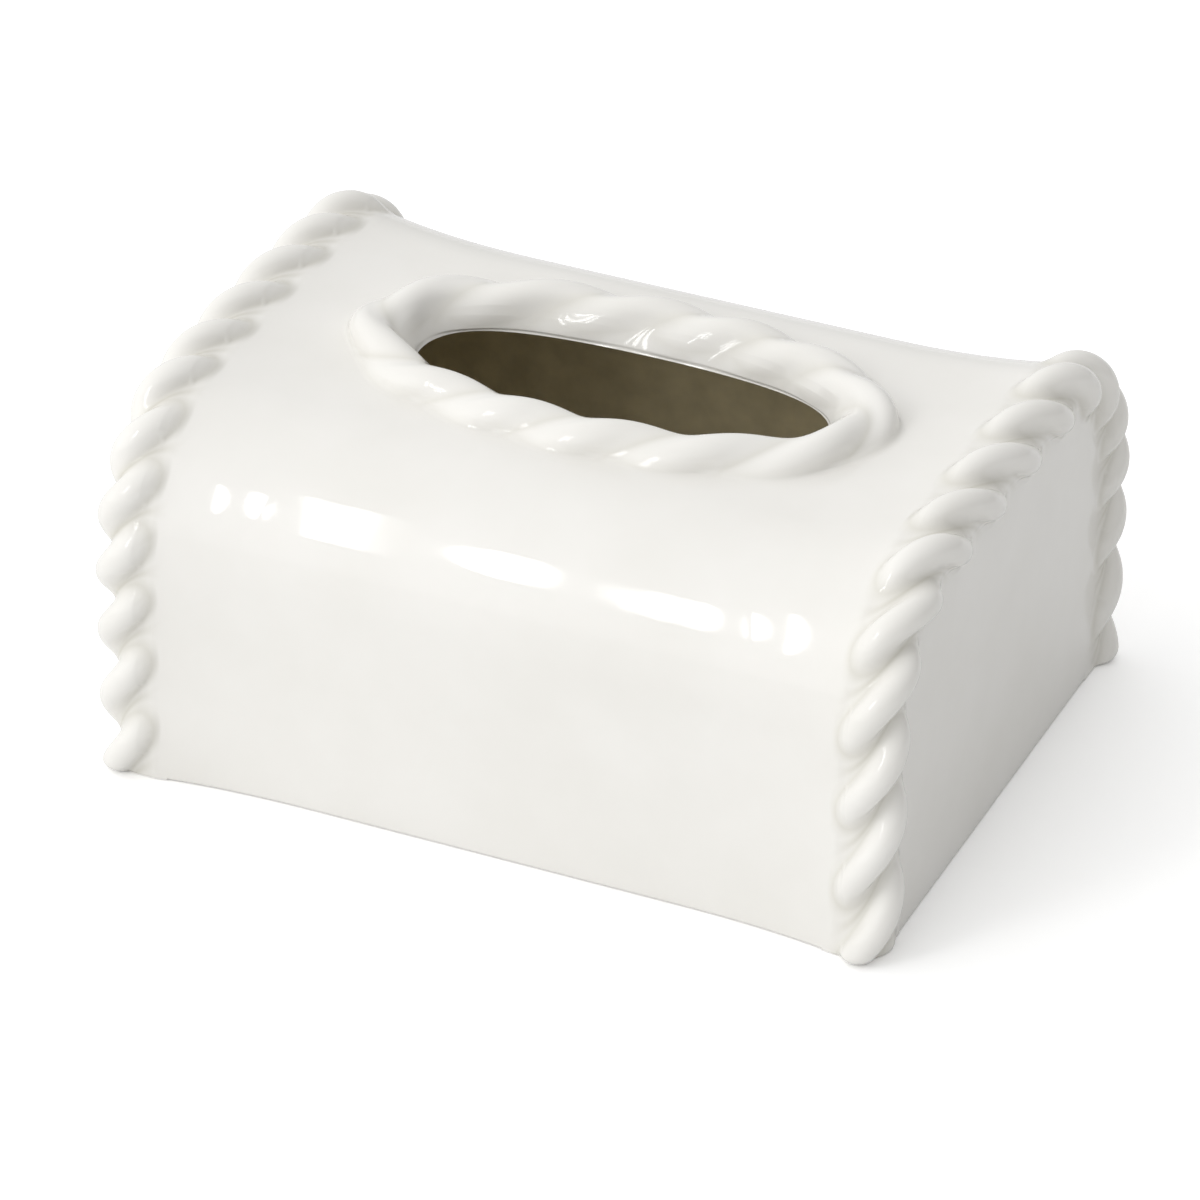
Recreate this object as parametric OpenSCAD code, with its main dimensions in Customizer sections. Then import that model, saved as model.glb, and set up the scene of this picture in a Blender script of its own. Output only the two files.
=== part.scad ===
// Tissue box cover: an arched ceramic shell, open at the bottom, with a two-strand rope
// trim over each end and a rope ring round the oval opening in the roof.
// Millimetres. X runs from end to end, Y from front (-) to back (+), Z up from the floor.

/* [Shell] */

// Distance along X between the centre lines of the two end ropes.
rope_spacing = 240; // [180:1:320]
// Distance along Y between the rope centre lines at the front and back walls.
rope_depth = 179; // [140:1:240]
// Height at which the straight walls turn into the shoulders.
wall_height = 72.7; // [50:0.1:120]
// Radius of the shoulders, measured at the rope centre line.
shoulder_r = 42; // [30:0.5:60]
// Slope in degrees at which a shoulder passes into the shallow crown of the roof.
crown_slope = 2.76; // [1.5:0.01:8]
// Thickness of the walls, the roof and the end panels.
wall_t = 5; // [3.5:0.1:6]
// How far the middle of the arched slab lies inside its flared ends.
flare_depth = 3.8; // [0:0.1:5]
// Distance from the middle at which the slab starts to flare out towards the ropes.
flare_start = 55; // [20:1:80]
// How suddenly the flare rises at the ropes.
flare_power = 2.5; // [2:0.1:4]

/* [End ropes] */

// Outer radius of an end rope, over the tops of its strands.
rope_r = 10.34; // [9:0.01:12]
// Half width of an end rope where its two strands cross, seen from the side.
waist_r = 7.9; // [7.2:0.1:9]
// Radius of an end rope at the bottom of the grooves between its strands.
groove_r = 5; // [4:0.1:7]
// Radius of the plain bead that fills the corner under an end rope.
bead_r = 7.5; // [6.5:0.1:8]
// Twist of the left rope from floor to floor, in tenths of a strand crossing.
left_twist_count = 177; // [120:1:190]
// Twist of the right rope from floor to floor, in tenths of a strand crossing.
right_twist_count = 156; // [120:1:190]
// Rounding of the rope ends where they meet the floor.
foot_r = 4; // [1:0.1:6]

/* [Opening ring] */

// Half of the ring's length along X, at its centre line.
ring_half_l = 79; // [60:0.5:85]
// Half of the ring's width along Y, at its centre line.
ring_half_w = 36.8; // [30:0.1:45]
// Outer radius of the ring, over the tops of its strands.
ring_r = 8.7; // [7.5:0.1:10]
// Half width of the ring where its two strands cross.
ring_waist_r = 6.8; // [6.2:0.1:7.8]
// Radius of the ring at the bottom of the grooves between its strands.
ring_groove_r = 4.8; // [4:0.1:6]
// Strand crossings round the ring. An even number, so that each strand closes on itself.
ring_lobes = 12; // [8:2:16]
// Width of the collar's top between the ring and the opening, at the opening's ends.
collar_end_w = 4.3; // [3:0.1:8]
// Width of the collar's top between the ring and the opening, at the opening's long sides.
collar_side_w = 2.8; // [2.6:0.1:6]
// Rounding of the collar's upper edge, round the opening.
lip_r = 2; // [1:0.1:2.4]

/* [Output] */

// The piece to draw.

/* [Hidden] */

half_l = rope_spacing / 2;
half_d = rope_depth / 2;
degrees_per_radian = 180 / PI;
quarter_turn = 90;
glaze = [0.93, 0.92, 0.89];

// The end rope is drawn on fixed directions round its centre line, counted in slots.
// A strand turns by one slot from each cross section to the next, so that ten cross sections
// make one strand crossing.
rope_slots = 20;
rope_step = 360 / rope_slots;
exposed_slots = 12;
// The exposed part of the rope is centred on the corner that it covers.
first_direction = 45 - exposed_slots * rope_step / 2;
// Distance of the walls' and the panels' outer faces from the rope centre line.
face_offset = rope_r * sin(first_direction + exposed_slots * rope_step);
// Distance from the rope centre line to the edge of the wall's outer face.
seam_reach = -rope_r * cos(first_direction + exposed_slots * rope_step);
// Where the walls' and the panels' inner parts meet the bead.
bead_reach = -bead_r * cos(first_direction + (exposed_slots + 1) * rope_step);
bead_offset = bead_r * sin(first_direction + (exposed_slots + 1) * rope_step);
// How much each twist closes up over the shoulders, and towards the back.
left_twist_shares = [0.21, 0.025];
right_twist_shares = [0.19, 0.112];
// Each rope: which way its slots turn, its first slot, its number of cross sections, its twist.
left_rope = [1, 0, left_twist_count, left_twist_shares];
right_rope = [-1, 5, right_twist_count, right_twist_shares];

// The arch that the ropes and the slab follow: a wall, a shoulder and half of the crown.
crown_r = (half_d - shoulder_r * (1 - sin(crown_slope))) / sin(crown_slope);
crown_axis_z = wall_height + (shoulder_r - crown_r) * cos(crown_slope);
shoulder_len = shoulder_r * (quarter_turn - crown_slope) / degrees_per_radian;
crown_len = crown_r * crown_slope / degrees_per_radian;
half_arch = wall_height + shoulder_len + crown_len;

// The ring uses directions of its own, and lies with its centre line on the roof's surface.
ring_slots = 16;
ring_step = 360 / ring_slots;
ring_sections = ring_lobes * ring_slots / 2;
ring_exposed_slots = ring_slots / 2;
ring_bead_r = wall_t;
ring_bead_reach = ring_bead_r * cos(ring_step);
ring_bead_depth = ring_bead_r * sin(ring_step);
// Where the ring's first crossing lies, and how unevenly the others follow it.
ring_shares = [0.0345, -0.0074, 0.0098];
// The opening's half length and half width, inside the ring and the collar's top.
hole_half_l = ring_half_l - ring_r - collar_end_w;
hole_half_w = ring_half_w - ring_r - collar_side_w;
// Squareness of the two ovals: 0 gives an ellipse.
ring_square_share = 0.012;
hole_square_share = 0.04;
oval_samples = 180;
flare_samples = 8;
shoulder_sections = 10;
crown_sections = 2;
// Overrun of cuts past the faces that they open.
cut_over = wall_t / 2;

// Depth of the slab's outer face inside its flared ends, at a distance x from the middle.
slab_end = half_l - seam_reach;
function flare_at(x) =
    let (t = (abs(x) - flare_start) / (slab_end - flare_start))
    face_offset - flare_depth * (1 - pow(max(0, min(t, 1)), flare_power));
// Distances from the middle at which the flare is drawn, closer together where it curves more.
flare_shares = [for (i = [0:flare_samples]) pow(i / flare_samples, 1 / (flare_power - 1))];
function roof_z(x, y) = crown_axis_z + sqrt(pow(crown_r + flare_at(x), 2) - y * y);

// Cross section of a rope of two oval strands as a radius, at an angle from one of its grooves.
// Each oval is offset from the rope's centre by d, and is w deep and as tall as the waist.
function lobe_radius(angle, outer, waist, groove) =
    let (w = outer / (1 + sqrt(1 - pow(groove / waist, 2))), d = outer - w,
         across = abs(sin(angle)), along = cos(angle),
         a = pow(across / w, 2) + pow(along / waist, 2), b = d * across / w / w, c = pow(d / w, 2) - 1)
    (b + sqrt(b * b - a * c)) / a;

// A point of the arch at a distance s from the front: [y, z, outward y, outward z].
function arch_half(s) =
    let (turn = (s - wall_height) / shoulder_r * degrees_per_radian,
         tilt = crown_slope - (s - wall_height - shoulder_len) / crown_r * degrees_per_radian)
    s < wall_height ? [half_d, s, 1, 0]
    : s >= wall_height + shoulder_len
        ? [crown_r * sin(tilt), crown_axis_z + crown_r * cos(tilt), sin(tilt), cos(tilt)]
        : let (y = half_d - shoulder_r * (1 - cos(turn)), z = wall_height + shoulder_r * sin(turn))
          [y, z, cos(turn), sin(turn)];
function arch_at(s) =
    let (front = s <= half_arch, p = arch_half(front ? s : 2 * half_arch - s), side = front ? -1 : 1)
    [side * p[0], p[1], side * p[2], p[3]];

// Places along the arch at which the slab and the end panels are drawn.
half_stations = concat([0, wall_height],
    [for (k = [1:shoulder_sections]) wall_height + shoulder_len * k / shoulder_sections],
    [for (k = [1:crown_sections]) wall_height + shoulder_len + crown_len * k / crown_sections]);
stations = concat(half_stations,
    [for (k = [len(half_stations) - 2:-1:0]) 2 * half_arch - half_stations[k]]);
// A point of a flat section [x, offset] that is carried over the arch.
function on_arch(s, p) = let (q = arch_at(s)) [p[0], q[0] + q[2] * p[1], q[1] + q[3] * p[1]];

function wrap(k, n) = (k % n + n) % n;
// How much the rope's outer radius shrinks at a distance s from the floor.
function foot_loss(s) =
    let (near = min(s, 2 * half_arch - s))
    near < foot_r ? foot_r - sqrt(foot_r * foot_r - pow(foot_r - near, 2)) : 0;
function rope_radius(slot, k, s) =
    slot == 0 || slot == exposed_slots ? rope_r
    : slot > exposed_slots ? bead_r
    : lobe_radius(k * rope_step, rope_r, waist_r, groove_r) * (1 - foot_loss(s) / rope_r);
// Distance along the arch of a rope's cross section i.
function rope_at(i, rope) =
    let (w = i / rope[2], twist = rope[3])
    2 * half_arch * (w + twist[0] / 4 / PI * sin(720 * w) + twist[1] / 2 / PI * (1 - cos(360 * w)));
function rope_point(i, k, rope) =
    let (s = rope_at(i, rope), p = arch_at(s), slot = wrap(k + rope[0] * i + rope[1], rope_slots),
         a = first_direction + slot * rope_step, r = rope_radius(slot, k, s))
    [half_l + r * cos(a), p[0] + p[2] * r * sin(a), p[1] + p[3] * r * sin(a)];
function rope_centre(i, rope) = let (p = arch_at(rope_at(i, rope))) [half_l, p[0], p[1]];

// Faces of a strand with n sections, each of m + 1 rim points and a centre point.
function strand_faces(n, m, turn, closed) =
    let (w = m + 2, last = closed ? n : n - 1)
    [for (i = [0:last - 1], k = [0:m - 1], t = [0, 1])
        let (j = (i + 1) % n, p = i * w + k, q = j * w + k)
        turn > 0 ? (t == 0 ? [p, p + 1, q] : [p + 1, q + 1, q])
                 : (t == 0 ? [p, p + 1, q + 1] : [p, q + 1, q])];
function split_faces(n, m, closed) =
    let (w = m + 2, last = closed ? n : n - 1)
    [for (i = [0:last - 1], t = [0:3])
        let (p = i * w, q = ((i + 1) % n) * w, c = m + 1)
        t == 0 ? [p + m, p + c, q + m]
        : t == 1 ? [p + c, q + c, q + m]
        : t == 2 ? [p + c, p, q]
                 : [p + c, q, q + c]];
// The ends, as fans round the centre point.
function cap_fans(n, m) =
    let (w = m + 2, c = m + 1, e = (n - 1) * w)
    concat([for (k = [0:m - 1]) [c, k + 1, k]], [for (k = [0:m - 1]) [e + c, e + k, e + k + 1]]);

module rope_strand(rope, first) {
    half = rope_slots / 2;
    n = rope[2] + 1;
    points = [for (i = [0:n - 1], k = [0:half + 1])
        k > half ? rope_centre(i, rope) : rope_point(i, first + k, rope)];
    polyhedron(points, concat(strand_faces(n, half, rope[0], false),
        split_faces(n, half, false), cap_fans(n, half)));
}

// An oval of half sizes a and b, and its outward direction.
function oval(a, b, q, t) =
    [a * (cos(t) - q * cos(3 * t)) / (1 - q), b * (sin(t) + q * sin(3 * t)) / (1 - q)];
function oval_out(a, b, q, t) =
    let (dx = a * (3 * q * sin(3 * t) - sin(t)), dy = b * (cos(t) + 3 * q * cos(3 * t)))
    [dy, -dx] / norm([dx, dy]);
oval_step = 360 / oval_samples;
oval_parts = [for (i = [0:oval_samples - 1])
    norm(oval(ring_half_l, ring_half_w, ring_square_share, (i + 1) * oval_step)
        - oval(ring_half_l, ring_half_w, ring_square_share, i * oval_step))];
function oval_sum(i) = i == 0 ? 0 : oval_sum(i - 1) + oval_parts[i - 1];
oval_lengths = [for (i = [0:oval_samples]) [oval_sum(i), i * oval_step]];
ring_len = oval_lengths[oval_samples][0];
// Angle of each ring section. Going round the ring, its twist is a little uneven.
function ring_share(w) =
    w + ring_shares[0] + ring_shares[1] * sin(360 * w) + ring_shares[2] * cos(720 * w);
ring_angles = [for (i = [0:ring_sections - 1])
    let (w = ring_share(i / ring_sections)) lookup((w - floor(w)) * ring_len, oval_lengths)];

// A point beside the ring's centre line: out from it by u, and above the roof's surface by v.
function beside_ring(t, u, v) =
    let (p = oval(ring_half_l, ring_half_w, ring_square_share, t)
             + u * oval_out(ring_half_l, ring_half_w, ring_square_share, t))
    [p[0], p[1], roof_z(p[0], p[1]) + v];
function beside_hole(t, u, v) =
    let (p = oval(hole_half_l, hole_half_w, hole_square_share, t)
             + u * oval_out(hole_half_l, hole_half_w, hole_square_share, t))
    [p[0], p[1], roof_z(p[0], p[1]) + v];
function ring_radius(slot, k) =
    slot == 0 || slot == ring_exposed_slots ? ring_r
    : slot > ring_exposed_slots ? ring_bead_r
    : lobe_radius(k * ring_step, ring_r, ring_waist_r, ring_groove_r);
function ring_point(i, k) =
    let (slot = wrap(k + i, ring_slots), r = ring_radius(slot, k), a = slot * ring_step)
    beside_ring(ring_angles[i], r * cos(a), r * sin(a));

module ring_strand(first) {
    half = ring_slots / 2;
    points = [for (i = [0:ring_sections - 1], k = [0:half + 1])
        k > half ? beside_ring(ring_angles[i], 0, 0) : ring_point(i, first + k)];
    polyhedron(points, concat(strand_faces(ring_sections, half, 1, true),
        split_faces(ring_sections, half, true)));
}

// Faces between the n sections of m points each of a closed band.
function band_faces(n, m) = [for (i = [0:n - 1], k = [0:m - 1], t = [0, 1])
    let (p = i * m + k, p1 = i * m + (k + 1) % m, onward = ((i + 1) % n - i) * m)
    t == 0 ? [p, p1, p + onward] : [p1, p1 + onward, p + onward]];

// The plug that opens the roof for the ring, wider at its outer face.
module ring_cut() {
    slope = (ring_r - ring_bead_reach) / ring_bead_depth;
    rims = [
        [ring_bead_reach, -wall_t - cut_over],
        [ring_bead_reach, -ring_bead_depth],
        [ring_r + cut_over * slope, cut_over]
    ];
    n = ring_sections;
    points = [for (r = rims, i = [0:n - 1]) beside_ring(ring_angles[i], r[0], r[1])];
    sides = [for (r = [0:len(rims) - 2], i = [0:n - 1], t = [0, 1])
        let (p = r * n + i, p1 = r * n + (i + 1) % n, q = p + n, q1 = p1 + n)
        t == 0 ? [p, q, p1] : [p1, q, q1]];
    low = len(points);
    high = low + 1;
    top = (len(rims) - 1) * n;
    polyhedron(
        concat(points, [[0, 0, roof_z(0, 0) + rims[0][1]], [0, 0, roof_z(0, 0) + rims[2][1]]]),
        concat(sides, [for (i = [0:n - 1]) [low, i, (i + 1) % n]],
            [for (i = [0:n - 1]) [high, top + (i + 1) % n, top + i]]));
}

// The slab before it is opened: a flared section carried over the arch.
module slab_sweep() {
    bead_x = half_l - bead_reach;
    m = 2 * flare_samples + 2;
    function x_at(i, end) =
        i <= flare_samples ? -(flare_start + flare_shares[flare_samples - i] * (end - flare_start))
                           : flare_start + flare_shares[i - flare_samples - 1] * (end - flare_start);
    loop = concat(
        [for (i = [0:m - 1]) let (x = x_at(i, slab_end)) [x, flare_at(x)]],
        [[bead_x, bead_offset]],
        [for (i = [m - 1:-1:0]) let (x = x_at(i, bead_x)) [x, flare_at(x) - wall_t]],
        [[-bead_x, bead_offset]]
    );
    w = len(loop);
    n = len(stations);
    points = [for (s = stations, p = loop) on_arch(s, p)];
    sides = [for (j = [0:n - 2], k = [0:w - 1], t = [0, 1])
        let (p = j * w + k, p1 = j * w + (k + 1) % w, q = p + w, q1 = p1 + w)
        t == 0 ? [p, q, p1] : [p1, q, q1]];
    function foot(e) = concat(
        [for (i = [0:m - 2], t = [0, 1]) let (o = e + i, b = e + 2 * m - i)
            t == 0 ? [o, o + 1, b - 1] : [o, b - 1, b]],
        [[e + m - 1, e + m, e + m + 1], [e, e + 2 * m, e + 2 * m + 1]]);
    last = (n - 1) * w;
    polyhedron(points, concat(sides, foot(0), [for (f = foot(last)) [f[0], f[2], f[1]]]));
}

module arched_slab() color(glaze) difference() {
    slab_sweep();
    ring_cut();
}

// An end panel. Its rim slopes where the rope's strands pass into their plain bead.
module end_panel() {
    inner_x = half_l + face_offset - wall_t;
    rims = [
        [inner_x, -bead_reach],
        [half_l + bead_offset, -bead_reach],
        [half_l + face_offset, -seam_reach]
    ];
    n = len(stations);
    inner = [for (i = [n - 1:-1:0]) i];
    outer = [for (i = [0:n - 1]) 2 * n + i];
    base = [0, n, 2 * n, 3 * n - 1, 2 * n - 1, n - 1];
    edge = [for (r = [0, 1], i = [0:n - 2], t = [0, 1])
        let (p = r * n + i, q = p + n)
        t == 0 ? [p, p + 1, q] : [p + 1, q + 1, q]];
    polyhedron([for (r = rims, s = stations) on_arch(s, r)], concat([inner, outer, base], edge));
}

module right_end_panel() color(glaze) end_panel();
module left_end_panel() color(glaze) mirror([1, 0, 0]) end_panel();
module right_rope_strand_a() color(glaze) rope_strand(right_rope, 0);
module right_rope_strand_b() color(glaze) rope_strand(right_rope, rope_slots / 2);
module left_rope_strand_a() color(glaze) mirror([1, 0, 0]) rope_strand(left_rope, 0);
module left_rope_strand_b() color(glaze) mirror([1, 0, 0]) rope_strand(left_rope, rope_slots / 2);
module opening_rope_strand_a() color(glaze) ring_strand(0);
module opening_rope_strand_b() color(glaze) ring_strand(ring_slots / 2);

module opening_collar() color(glaze) {
    m = 7;
    points = [for (t = ring_angles, k = [0:m - 1])
        k == 0 ? beside_ring(t, -ring_bead_reach, -wall_t)
        : k == 1 ? beside_ring(t, -ring_bead_reach, -ring_bead_depth)
        : k == 2 ? beside_ring(t, -ring_r, 0)
        : k == 3 ? beside_hole(t, lip_r, 0)
        : k == 4 ? beside_hole(t, lip_r * (1 - sin(45)), -lip_r * (1 - cos(45)))
        : k == 5 ? beside_hole(t, 0, -lip_r)
                 : beside_hole(t, 0, -wall_t)];
    polyhedron(points, band_faces(len(ring_angles), m));
}

arched_slab();
left_end_panel();
right_end_panel();
left_rope_strand_a();
left_rope_strand_b();
right_rope_strand_a();
right_rope_strand_b();
opening_rope_strand_a();
opening_rope_strand_b();
opening_collar();
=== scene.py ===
from math import acos, cos, pi, radians, sin, tan

import bmesh
import bpy
import numpy as np
from bpy.props import FloatProperty, FloatVectorProperty, IntProperty, PointerProperty
from mathutils import Matrix, Vector


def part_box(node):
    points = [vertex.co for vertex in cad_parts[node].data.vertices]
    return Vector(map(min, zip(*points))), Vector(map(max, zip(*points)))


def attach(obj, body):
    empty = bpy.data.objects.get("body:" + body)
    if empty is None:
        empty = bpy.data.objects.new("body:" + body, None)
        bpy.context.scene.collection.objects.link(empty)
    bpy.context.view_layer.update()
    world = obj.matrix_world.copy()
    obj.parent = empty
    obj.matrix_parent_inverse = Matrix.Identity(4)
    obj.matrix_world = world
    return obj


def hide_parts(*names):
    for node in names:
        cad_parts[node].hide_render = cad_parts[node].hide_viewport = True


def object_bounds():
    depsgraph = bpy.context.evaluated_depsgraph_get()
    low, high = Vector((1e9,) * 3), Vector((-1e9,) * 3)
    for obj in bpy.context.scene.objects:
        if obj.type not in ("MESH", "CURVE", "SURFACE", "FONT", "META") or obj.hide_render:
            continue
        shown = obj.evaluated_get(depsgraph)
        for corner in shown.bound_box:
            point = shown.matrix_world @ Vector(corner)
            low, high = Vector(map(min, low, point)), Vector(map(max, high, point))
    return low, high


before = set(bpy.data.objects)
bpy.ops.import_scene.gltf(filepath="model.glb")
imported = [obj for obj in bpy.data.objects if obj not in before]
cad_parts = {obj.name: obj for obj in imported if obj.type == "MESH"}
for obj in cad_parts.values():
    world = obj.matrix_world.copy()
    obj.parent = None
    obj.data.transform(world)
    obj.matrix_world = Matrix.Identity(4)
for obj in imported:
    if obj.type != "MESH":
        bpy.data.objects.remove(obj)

bl_info = {
    "name": "Tissue Box Cover",
    "version": (1, 0, 0),
    "blender": (4, 5, 0),
    "location": "View3D > Sidebar > Tissue Cover",
    "description": "A glazed ceramic tissue box cover with twisted rope trim",
    "category": "Add Mesh",
}

CAD_LOW, CAD_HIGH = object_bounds()
PANEL_LOW, PANEL_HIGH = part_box("right_end_panel")
SLAB_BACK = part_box("arched_slab")[1].y

# Sockets of the Mix node that take its two colours, and its socket that gives the mixed one.
MIX_FIRST, MIX_SECOND, MIX_RESULT = 6, 7, 2

# Points nearer to each other than this are one point.
MERGE_DISTANCE = 1e-7

# Glaze that has faded out still counts with this reach, since the reach divides.
LEAST_REACH = 1e-9


def length(name, description, default):
    return FloatProperty(name=name, description=description, default=default, min=0.0, unit="LENGTH")


def share(name, description, default):
    return FloatProperty(name=name, description=description, default=default, min=0.0)


def colour(name, description, default):
    return FloatVectorProperty(
        name=name, description=description, default=default, min=0.0, max=1.0, size=3, subtype="COLOR")


class ShellSizes(bpy.types.PropertyGroup):
    """Sizes of the arched slab and of the end panels."""

    rope_spacing: length("Rope spacing", "Distance between the centre lines of the end ropes", 0.240)
    rope_depth: length(
        "Rope depth", "Distance between a rope's centre lines at the front and back", 0.179)
    wall_height: length("Wall height", "Height at which the walls turn into the shoulders", 0.0727)
    shoulder_radius: length("Shoulder radius", "Radius of the shoulders at the rope centre line", 0.042)
    crown_slope: FloatProperty(
        name="Crown slope", description="Slope at which a shoulder passes into the crown",
        default=radians(2.76), subtype="ANGLE")
    wall_thickness: length(
        "Wall thickness", "Thickness of the slab and of the end panels", PANEL_HIGH.x - PANEL_LOW.x)
    flare_depth: length("Flare depth", "How far the slab's middle lies inside its flared ends", 0.0038)
    flare_start: length("Flare start", "Distance from the middle at which the slab flares out", 0.055)
    flare_power: share("Flare power", "How suddenly the flare rises at the ropes", 2.5)
    edge_radius: length("Edge radius", "Rounding of the edges that stand on the floor", 0.0009)


class EndRopeSizes(bpy.types.PropertyGroup):
    """Sizes of the two-strand ropes over the ends."""

    radius: length("Radius", "Radius over the tops of the strands", 0.0102)
    strand_radius: length("Strand radius", "Radius of one strand", 0.0046)
    groove_fill: length("Groove fill", "Reach of the glaze that fills the grooves", 0.0060)
    seam_fill: length("Seam fill", "Reach of the glaze between the rope and the shell", 0.0026)
    # How dark the grooves and seams are tinted: partly pooled glaze, partly painted shade.
    pooling_and_shade: share("Pooling", "How much darker glaze runs together in the grooves", 1.0)
    bead_radius: length("Bead radius", "Radius of the bead inside the corner", 0.0074)
    foot_radius: length("Foot radius", "Rounding of the rope ends at the floor", 0.0040)
    left_twist: IntProperty(
        name="Left twist", description="Twist of the left rope, in tenths of a crossing", default=177)
    right_twist: IntProperty(
        name="Right twist", description="Twist of the right rope, in tenths of a crossing", default=156)


class OpeningSizes(bpy.types.PropertyGroup):
    """Sizes of the rope ring and of the collar inside it."""

    half_length: length("Half length", "Half of the ring's length at its centre line", 0.0790)
    half_width: length("Half width", "Half of the ring's width at its centre line", 0.0368)
    radius: length("Radius", "Radius over the tops of the ring's strands", 0.0087)
    strand_radius: length("Strand radius", "Radius of one strand", 0.0055)
    groove_fill: length("Groove fill", "Reach of the glaze that fills the grooves", 0.0042)
    inner_share: share("Inner share", "How much further the grooves are filled on the inner side", 0.9)
    roof_fill: length("Roof fill", "Reach of the glaze between the ring and the roof", 0.0026)
    collar_fill: length("Collar fill", "Reach of the glaze between the ring and the collar", 0.0065)
    # How dark the ring's grooves and seams are tinted: partly pooled glaze, partly painted shade.
    pooling_and_shade: share("Pooling", "How much darker glaze runs together in the grooves", 0.45)
    crossings: IntProperty(name="Crossings", description="Strand crossings round the ring", default=12)
    collar_end: length("Collar end", "Width of the collar's top at the opening's ends", 0.0043)
    collar_side: length("Collar side", "Width of the collar's top at the opening's long sides", 0.0028)
    lip_radius: length("Lip radius", "Rounding of the collar's upper edge", 0.0090)


class GlazeColours(bpy.types.PropertyGroup):
    """Colours of the glaze, of the clay inside and of the floor."""

    glaze: colour("Glaze", "Colour of the glaze", (0.89, 0.875, 0.838))
    # The pooled colour is partly pooled glaze and partly painted shade in grooves and seams; the mottling
    # also mixes it in at random.
    pooled_and_shade: colour("Pooled glaze", "Colour of the glaze where it has run together", (0.60, 0.578, 0.495))
    inside: colour("Inside", "Colour of the clay inside the cover", (0.79, 0.69, 0.45))
    floor: colour("Floor", "Colour of the floor", (0.90, 0.90, 0.90))


def fillet(a, b, reach):
    """How full of glaze the corner between two bodies is, from their distances a and b."""
    return np.square(np.maximum(1 - np.abs(a - b) / np.maximum(reach, LEAST_REACH), 0))


def smooth_union(a, b, reach):
    """The smaller of two distances, with the inner corner between the bodies filled."""
    return np.minimum(a, b) - reach / 4 * fillet(a, b, reach)


def ease(way):
    """A smooth rise from 0 to 1 while way goes from 0 to 1."""
    t = np.clip(way, 0.0, 1.0)
    return t * t * (3 - 2 * t)


def walk_in(outside, start, aim, far, steps=70):
    """Points (u, v) where rays from start are met by the body, coming in from far away.

    outside(u, v) is the distance outside the body, so each step is as long as that allows.
    """
    aim_u, aim_v = aim / np.hypot(*aim)
    u, v = start[0] + far * aim_u, start[1] + far * aim_v
    for _ in range(steps):
        step = outside(u, v)
        u, v = u - step * aim_u, v - step * aim_v
    return u, v


def lattice_normals(points, ring=False):
    """Normals of a lattice of points. In a ring, the last row is next to the first one."""
    if ring:
        along = np.roll(points, -1, axis=0) - np.roll(points, 1, axis=0)
    else:
        along = np.gradient(points, axis=0)
    normals = np.cross(along, np.gradient(points, axis=1))
    return normals / np.linalg.norm(normals, axis=2, keepdims=True)


def close_ring(rows):
    """The rows of a ring, with the first one again after the last."""
    return np.append(rows, rows[:1], axis=0)


class Arch:
    """The path of the ropes' centre lines: wall, shoulder, crown, and down again at the back.

    The slab follows it at a distance, and the end panels fill it.
    """

    def __init__(self, shell):
        self.half_depth = shell.rope_depth / 2
        self.wall = shell.wall_height
        self.radius = shell.shoulder_radius
        self.slope = shell.crown_slope
        self.crown_radius = (self.half_depth - self.radius * (1 - sin(self.slope))) / sin(self.slope)
        self.crown_axis = self.wall + (self.radius - self.crown_radius) * cos(self.slope)
        self.shoulder = self.radius * (pi / 2 - self.slope)
        self.half_length = self.wall + self.shoulder + self.crown_radius * self.slope
        self.length = 2 * self.half_length

    def place(self, x, s, out):
        """Points at a distance s along the path and out from it.

        q is the distance along the path from the nearer end, since the back mirrors the front.
        """
        q = self.half_length - np.abs(s - self.half_length)
        turn = np.clip((q - self.wall) / self.radius, 0, pi / 2 - self.slope)
        crown = np.maximum(q - self.wall - self.shoulder, 0) / self.crown_radius
        out_y, out_z = np.cos(turn + crown), np.sin(turn + crown)
        on_crown = crown > 0
        y = np.where(on_crown, self.crown_radius * out_y, self.half_depth - self.radius * (1 - out_y))
        z = np.where(on_crown, self.crown_axis + self.crown_radius * out_z,
                     np.minimum(q, self.wall) + self.radius * out_z)
        side = np.where(s < self.half_length, -1.0, 1.0)
        return np.stack(np.broadcast_arrays(x, side * (y + out * out_y), z + out * out_z), axis=-1)

    def height(self, y, out):
        """Height of the crown, raised by out, at a distance y from the middle."""
        return self.crown_axis + np.sqrt((self.crown_radius + out) ** 2 - y * y)


class Shell:
    """The slab and the panels, whose corners lie under the ropes.

    face is how far their outer faces lie out from a rope's centre line. seam is how far inside that
    line they end. A rope's first direction points to the panel's seam, and its last to the slab's.
    """

    FIRST_DIRECTION = radians(-63)
    EXPOSED = radians(216)

    def __init__(self, scene):
        sizes = scene.cover_shell
        self.arch = Arch(sizes)
        self.half = sizes.rope_spacing / 2
        self.wall = sizes.wall_thickness
        self.edge = sizes.edge_radius
        self.face = SLAB_BACK - sizes.rope_depth / 2
        self.seam = -self.face / tan(self.FIRST_DIRECTION + self.EXPOSED)
        self.end = self.half - self.seam
        self.flare = sizes.flare_depth, sizes.flare_start, sizes.flare_power

    def out(self, x):
        """Distance of the slab's outer face from the arch path, at a distance x from the middle."""
        depth, start, power = self.flare
        t = np.clip((np.abs(x) - start) / (self.end - start), 0, 1)
        return self.face - depth * (1 - t ** power)

    def roof(self, x, y):
        """Height of the roof's outer face."""
        return self.arch.height(y, self.out(x))


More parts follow.
